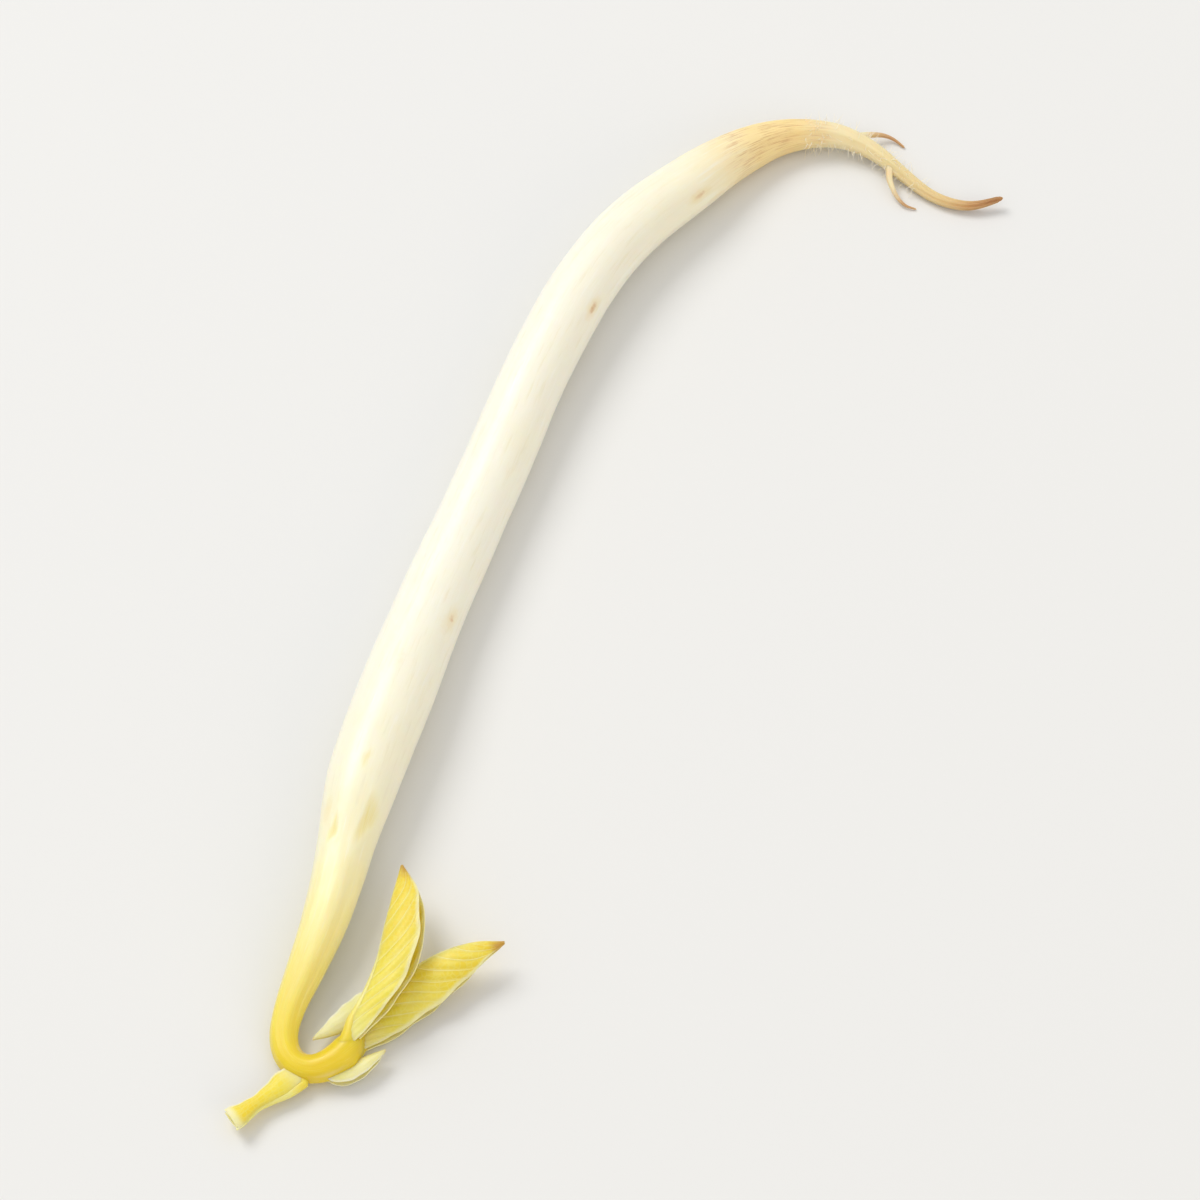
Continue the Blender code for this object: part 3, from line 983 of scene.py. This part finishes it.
def makeLeafFinish(name, look, pinnate):
    material, board, shader = newMaterial(name)
    uv = board.put("ShaderNodeUVMap", {"uv_map": "UVMap"})
    along, across, _ = board.split(uv)
    place = board.put("ShaderNodeTexCoord", None, None, out=3)
    reach = (across - 0.5).size() * 2.0
    patch = board.cloud(place, 650.0, 3.0)
    fine = board.cloud(place, 4200.0, 4.0, 0.6)
    tone = {key: full(value) for key, value in look.items() if isinstance(value, tuple)}
    base = board.blend(patch.between(0.38, 0.64), tone["base"], tone["green"])
    base = board.blend(along.between(0.25, 0.85) * patch.between(0.30, 0.66, 0.4, 1.0), base, tone["gold"])
    base = board.blend((1.0 - along.between(0.03, 0.30)) * look["paleBase"], base, tone["pale"])
    paleEnd = (along + (fine - 0.5) * 0.05).between(0.88, 0.97) * look["paleEnd"]
    base = board.blend(paleEnd, base, tone["pale"])
    wander = (patch - 0.5) * 0.7
    if pinnate:
        lines = ((veinPhase(along, reach) + wander * 0.35) * (2 * math.pi)).cosine().between(0.55, 1.0)
    else:
        lines = ((reach * 5.0 + wander) * (2 * math.pi)).cosine().between(0.3, 1.0) * 0.6
    cells = board.put("ShaderNodeTexVoronoi", {"feature": "DISTANCE_TO_EDGE"},
                      {"Vector": place, "Scale": 3600.0, "Randomness": 1.0})
    net = 1.0 - cells.between(0.0, 0.16)
    base = board.blend(net * look["net"], base, tone["vein"])
    base = board.blend(lines * look["lines"], base, tone["vein"])
    base = board.blend((1.0 - reach.between(0.0, 0.22)) * look["midline"], base, tone["vein"])
    margin = (reach + (fine - 0.5) * 0.06).between(0.86, 0.97)
    base = board.blend(margin * look["margin"], base, tone["pale"])
    brown = (along + (patch - 0.5) * 0.14 + reach * 0.04).between(look["brownFrom"], look["brownFrom"] + 0.09)
    base = board.blend(brown * look["brown"], base, tone["tip"])
    rough = 0.42 + (fine - 0.5) * 0.2
    height = fine * 0.35 + lines * 0.5 + net * 0.25
    plug(board, shader, Base_Color=base, Roughness=rough, Normal=board.bump(height, 0.35, 0.00003),
         Subsurface_Weight=0.45, Subsurface_Scale=0.0005, Subsurface_Radius=(1.0, 0.82, 0.22),
         Specular_IOR_Level=0.4)
    return material


def makeRibFinish(name, near, far, tip, subsurface=0.5):      # a rib's colour from its base to its tip
    material, board, shader = newMaterial(name)
    place = board.put("ShaderNodeTexCoord", None, None, out=3)
    along = board.put("ShaderNodeAttribute", {"attribute_name": "travel"}, out=2)
    fine = board.cloud(place, 2600.0, 3.0, 0.6)
    base = board.blend(along.between(0.06, 0.30), full(near), full(far))
    base = board.blend((along + (fine - 0.5) * 0.1).between(0.86, 1.0) * 0.8, base, full(tip))
    base = board.blend(fine.between(0.45, 0.7) * 0.25, base, full(near))
    rough = 0.40 + (fine - 0.5) * 0.15
    plug(board, shader, Base_Color=base, Roughness=rough, Normal=board.bump(fine, 0.25, 0.00002),
         Subsurface_Weight=subsurface, Subsurface_Scale=0.0005, Subsurface_Radius=(1.0, 0.82, 0.32))
    return material


leafFinish = makeLeafFinish("leafYellow", leafLook, True)
budFinish = makeLeafFinish("budYellow", budLook, False)
scaleFinish = makeLeafFinish("paleScale", scaleLook, False)
ribFinish = makeRibFinish("leafRib", (234, 208, 46), (246, 235, 150), (206, 160, 72))
budRibFinish = makeRibFinish("budRib", (238, 215, 76), (245, 232, 136), (248, 240, 184))
scaleRibFinish = makeRibFinish("scaleRib", (240, 228, 136), (243, 235, 182), (224, 198, 128), 0.0)
veinFinish = makeRibFinish("leafVein", (250, 240, 168), (249, 237, 150), (226, 186, 92), 0.0)

for part, leaf, finish, ribbing, slot, node in (
    ("longLeaf", longLeaf, leafFinish, ribFinish, "leaf", "leaf_long"),
    ("shortLeaf", shortLeaf, leafFinish, ribFinish, "leaf", "leaf_short"),
    ("bud", shootBud, budFinish, budRibFinish, "leaf", "shoot_bud"),
    ("innerScale", innerScale, scaleFinish, scaleRibFinish, "scale", "stipule_inner"),
    ("outerScale", outerScale, scaleFinish, scaleRibFinish, "scale", "stipule_outer"),
):
    frameBlade(leaf)
    growBlade(part + "Blade", leaf, finish, slot, node)
    growRib(part + "Rib", leaf, ribbing, slot)
    if "quilt" in leaf:
        growVeins(part + "Veins", leaf, veinFinish, slot)
print("leaves, bud and scales folded")


# The table, the light and the camera

stage = {"size": 6.0, "tone": (231, 231, 230)}
keyLight = {"place": (-0.24, -0.56, 0.72), "size": 0.50, "power": 4.0, "tone": (255, 254, 251)}
warmFill = {"place": (0.26, 0.60, 0.28), "size": 0.50, "power": 0.8, "tone": (255, 232, 190)}
sky = {"horizon": 0.56, "zenith": 0.78}
view = {"azimuth": 112.9, "elevation": 60.0, "lens": 135.0, "width": 0.0555, "lookAt": (0.0, 0.0, 0.001)}


def makeFloor():
    half = stage["size"] / 2
    corners = [(-half, -half, 0), (half, -half, 0), (half, half, 0), (-half, half, 0)]
    mesh = bpy.data.meshes.new("table")
    mesh.from_pydata(corners, [], [(0, 1, 2, 3)])
    floor = addThing("table", mesh)
    material, board, shader = newMaterial("paleTable")
    plug(board, shader, Base_Color=full(stage["tone"]), Roughness=0.6, Specular_IOR_Level=0.2)
    mesh.materials.append(material)


def makeLamp(name, look):
    lamp = bpy.data.lights.new(name, "AREA")
    lamp.shape = "DISK"
    lamp.size = look["size"]
    lamp.energy = look["power"]
    lamp.color = tint(*look["tone"])
    thing = addThing(name, lamp)
    thing.location = look["place"]
    thing.rotation_euler = (-Vector(look["place"])).to_track_quat("-Z", "Y").to_euler()


def makeWorld():
    world = bpy.data.worlds.new("studio")
    bpy.context.scene.world = world
    world.use_nodes = True
    board = Board(world.node_tree)
    rise = board.split(board.put("ShaderNodeTexCoord"))[2]
    strength = rise.between(0.0, 1.0, sky["horizon"], sky["zenith"])
    board.tree.links.new(strength.socket, world.node_tree.nodes["Background"].inputs["Strength"])
    world.node_tree.nodes["Background"].inputs["Color"].default_value = (1.0, 1.0, 1.0, 1.0)


def makeCamera():
    azimuth = math.radians(view["azimuth"])
    elevation = math.radians(view["elevation"])
    back = Vector((math.sin(azimuth) * math.cos(elevation), -math.cos(azimuth) * math.cos(elevation),
                   math.sin(elevation)))
    camera = bpy.data.cameras.new("camera")
    camera.lens = view["lens"]
    camera.sensor_width = 36.0
    camera.clip_start = 0.005
    distance = view["width"] * view["lens"] / camera.sensor_width
    thing = addThing("camera", camera)
    thing.location = Vector(view["lookAt"]) + back * distance
    thing.rotation_euler = (-back).to_track_quat("-Z", "Y").to_euler()
    bpy.context.scene.camera = thing


makeFloor()
makeLamp("softKey", keyLight)
makeLamp("warmFill", warmFill)
makeWorld()
makeCamera()
bpy.context.scene.view_settings.view_transform = "Standard"
print("table, light and camera set")
